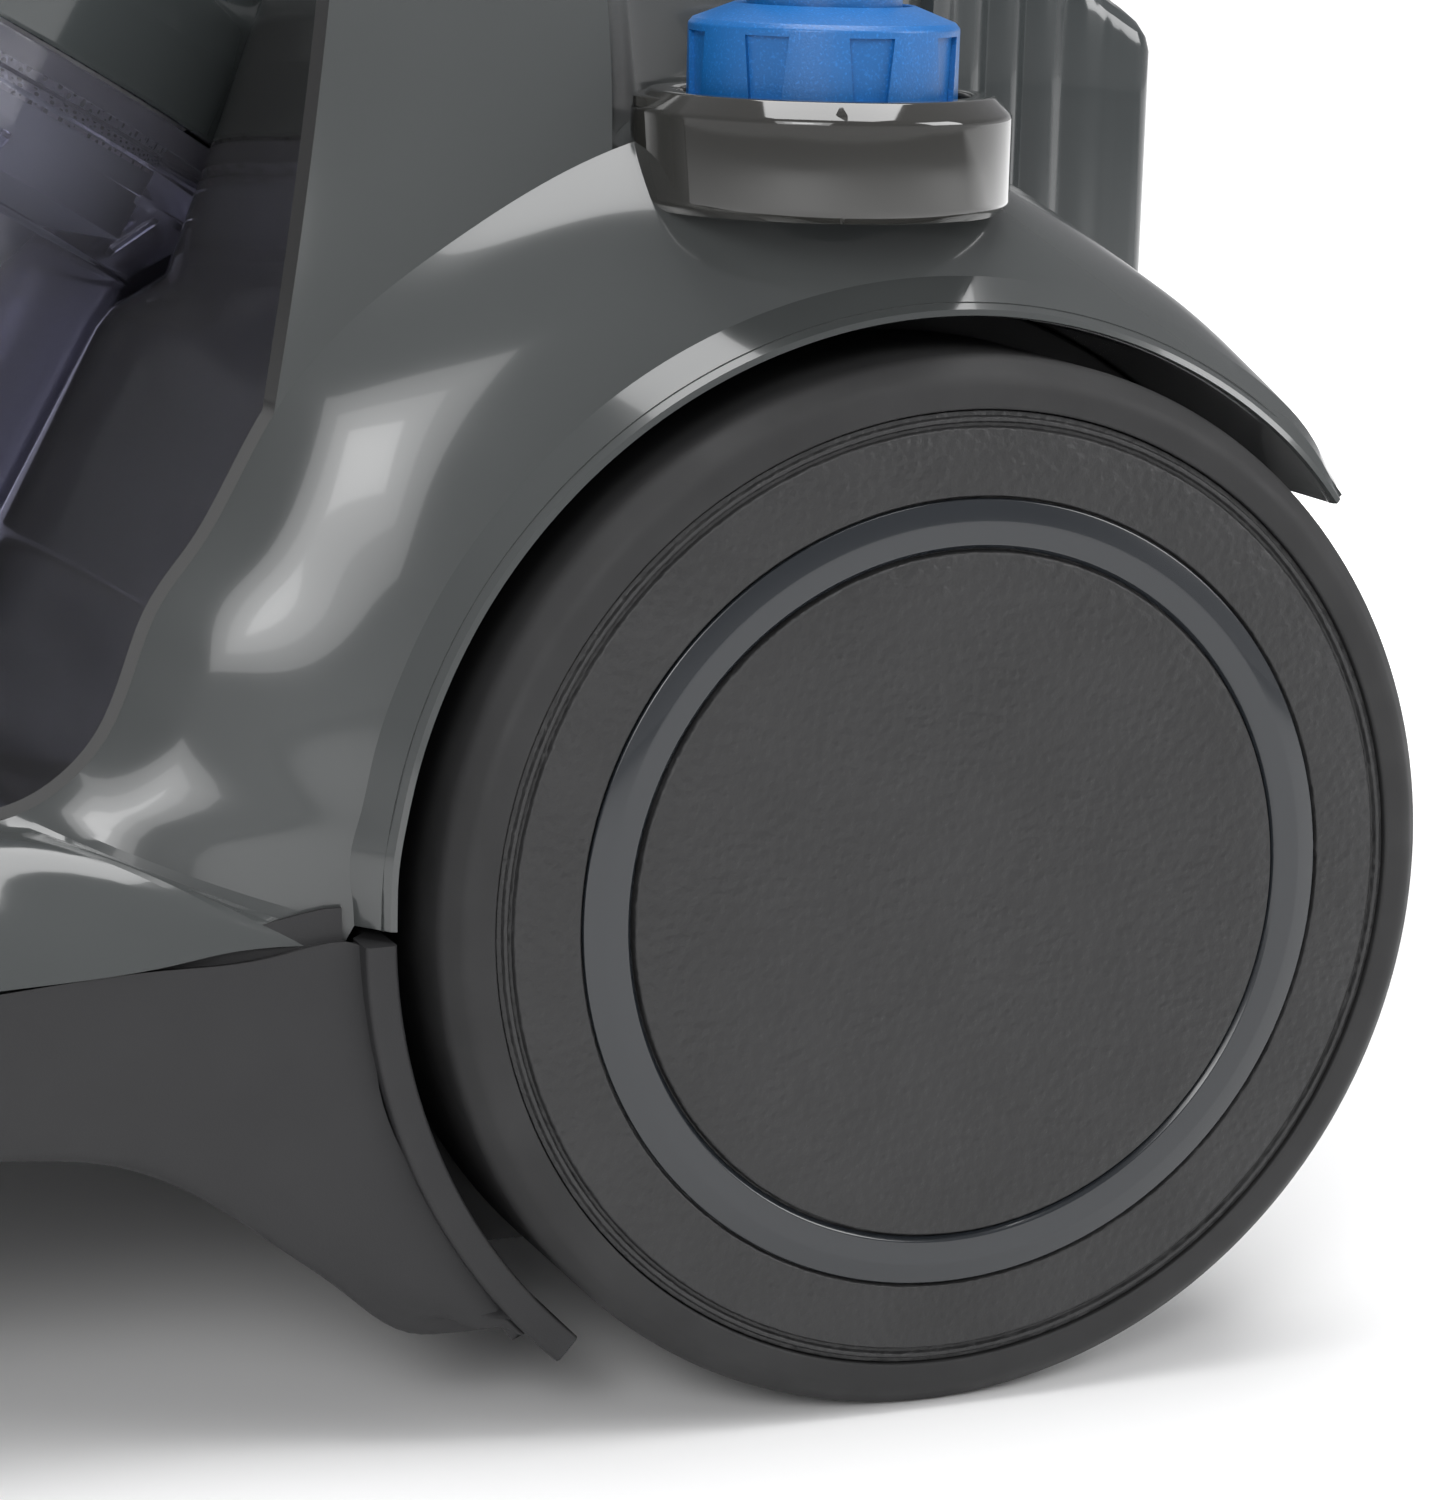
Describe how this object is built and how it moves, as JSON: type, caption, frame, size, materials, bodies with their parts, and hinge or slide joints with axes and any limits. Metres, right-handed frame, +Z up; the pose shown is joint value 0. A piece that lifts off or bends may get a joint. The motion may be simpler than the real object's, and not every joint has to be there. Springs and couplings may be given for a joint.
{
  "type": "canister vacuum cleaner",
  "caption": "Bagless canister vacuum cleaner with large rear wheels, a leaning clear dust bin, front hose inlet and shoulder-mounted controls.",
  "frame": {"origin": "on the floor under the middle of the machine's box", "axes": "+Z up, front of the machine towards -Y, +X the machine's left side, rear axle along X"},
  "size_m": [0.2842, 0.4, 0.2968],
  "materials": {
    "matte_charcoal": "fine moulded texture",
    "gunmetal_gloss": "high gloss",
    "cradle_black": "high gloss",
    "housing_grey": "satin gloss",
    "wheel_charcoal": "leather grain",
    "tyre_rubber": "fine matte",
    "trim_gloss": "high gloss",
    "pod_gloss": "high gloss",
    "azure_plastic": "fine sparkle texture",
    "clear_bin": "clear tinted plastic",
    "cap_gloss": "high gloss",
    "soft_black": "soft touch",
    "filter_white": "felt",
    "mesh_steel": "perforated",
    "cone_grey": "satin",
    "steel": "turned",
    "motor_metal": "cast",
    "copper_core": "wound core",
    "board_green": "lacquered board"
  },
  "bodies": {
    "chassis": {"chassis": "matte_charcoal", "case_screws": "steel", "upper_shell": "gunmetal_gloss", "bin_cradle": "cradle_black", "rear_housing": "housing_grey", "exhaust_filter": "filter_white", "left_axle": "steel", "right_axle": "steel", "left_control_pod": "pod_gloss", "right_control_pod": "pod_gloss", "hose_inlet": "matte_charcoal", "inlet_seal": "soft_black", "inlet_duct": "matte_charcoal", "motor_casing": "motor_metal", "motor_stator": "copper_core", "motor_mount_fan_end": "soft_black", "motor_mount_drive_end": "soft_black", "motor_inlet_duct": "matte_charcoal", "reel_spindle": "steel", "cord_outlet_bush": "soft_black", "control_board": "board_green"},
    "left_wheel": {"left_wheel_hub": "matte_charcoal", "left_tyre": "tyre_rubber", "left_wheel_cover": "wheel_charcoal", "left_wheel_trim": "trim_gloss"},
    "right_wheel": {"right_wheel_hub": "matte_charcoal", "right_tyre": "tyre_rubber", "right_wheel_cover": "wheel_charcoal", "right_wheel_trim": "trim_gloss"},
    "caster_fork": {"caster_fork": "matte_charcoal", "caster_pin": "steel"},
    "caster_wheel": {"caster_wheel": "tyre_rubber"},
    "power_knob": {"power_knob": "azure_plastic"},
    "power_button": {"power_button": "azure_plastic"},
    "rewind_button": {"rewind_button": "azure_plastic"},
    "dust_bin": {"dust_bin": "clear_bin", "lid_hinge_pin": "steel", "riser_tube": "cone_grey", "cyclone_cone": "cone_grey", "mesh_shroud": "mesh_steel", "pre_motor_filter": "filter_white", "bin_seal": "soft_black"},
    "bin_lid": {"bin_cap": "cap_gloss", "carry_handle": "cap_gloss", "handle_grip": "soft_black"},
    "lid_release_button": {"lid_release_button": "azure_plastic"},
    "bin_release_button": {"bin_release_button": "azure_plastic"},
    "exhaust_door": {"exhaust_door": "matte_charcoal"},
    "motor_rotor": {"motor_rotor": "steel", "fan_impeller": "cone_grey"},
    "cord_reel": {"cord_reel": "matte_charcoal"}
  },
  "joints": [
    {"name": "left_wheel_spin", "type": "hinge", "parent": "chassis", "child": "left_wheel", "pos_m": [0.118, 0.117, 0.083], "axis": [1, 0, 0], "continuous": true},
    {"name": "right_wheel_spin", "type": "hinge", "parent": "chassis", "child": "right_wheel", "pos_m": [-0.118, 0.117, 0.083], "axis": [1, 0, 0], "continuous": true},
    {"name": "caster_swivel", "type": "hinge", "parent": "chassis", "child": "caster_fork", "pos_m": [0, -0.135, 0.05], "axis": [0, 0, 1], "continuous": true},
    {"name": "caster_roll", "type": "hinge", "parent": "caster_fork", "child": "caster_wheel", "pos_m": [0, -0.121, 0.02], "axis": [1, 0, 0], "continuous": true},
    {"name": "power_turn", "type": "hinge", "parent": "chassis", "child": "power_knob", "pos_m": [0.1131, 0.1015, 0.2], "axis": [0, 0, 1], "range_deg": [-135, 135]},
    {"name": "power_press", "type": "slide", "parent": "power_knob", "child": "power_button", "axis": [0, 0, -1], "range_m": [0, 0.003], "stiffness_N_per_m": 400, "springref_m": -0.002},
    {"name": "rewind_press", "type": "slide", "parent": "chassis", "child": "rewind_button", "axis": [0, 0, -1], "range_m": [0, 0.004], "stiffness_N_per_m": 400, "springref_m": -0.002},
    {"name": "bin_lift", "type": "slide", "parent": "chassis", "child": "dust_bin", "axis": [0, 0.4741, 0.8805], "range_m": [0, 0.15]},
    {"name": "lid_open", "type": "hinge", "parent": "dust_bin", "child": "bin_lid", "pos_m": [0, -0.08919, 0.25157], "axis": [1, 0, 0], "range_deg": [0, 80]},
    {"name": "lid_release_press", "type": "slide", "parent": "bin_lid", "child": "lid_release_button", "axis": [0, -0.4741, -0.8805], "range_m": [0, 0.0025], "stiffness_N_per_m": 400, "springref_m": -0.002},
    {"name": "bin_release_press", "type": "slide", "parent": "chassis", "child": "bin_release_button", "axis": [0, 0, -1], "range_m": [0, 0.004], "stiffness_N_per_m": 400, "springref_m": -0.002},
    {"name": "exhaust_door_open", "type": "hinge", "parent": "chassis", "child": "exhaust_door", "pos_m": [0, 0.191, 0.094], "axis": [-1, 0, 0], "range_deg": [0, 85]},
    {"name": "fan_spin", "type": "hinge", "parent": "chassis", "child": "motor_rotor", "pos_m": [0, 0.09, 0.125], "axis": [1, 0, 0], "continuous": true},
    {"name": "reel_spin", "type": "hinge", "parent": "chassis", "child": "cord_reel", "pos_m": [0, 0.116, 0.046], "axis": [0, 0, 1], "continuous": true}
  ]
}
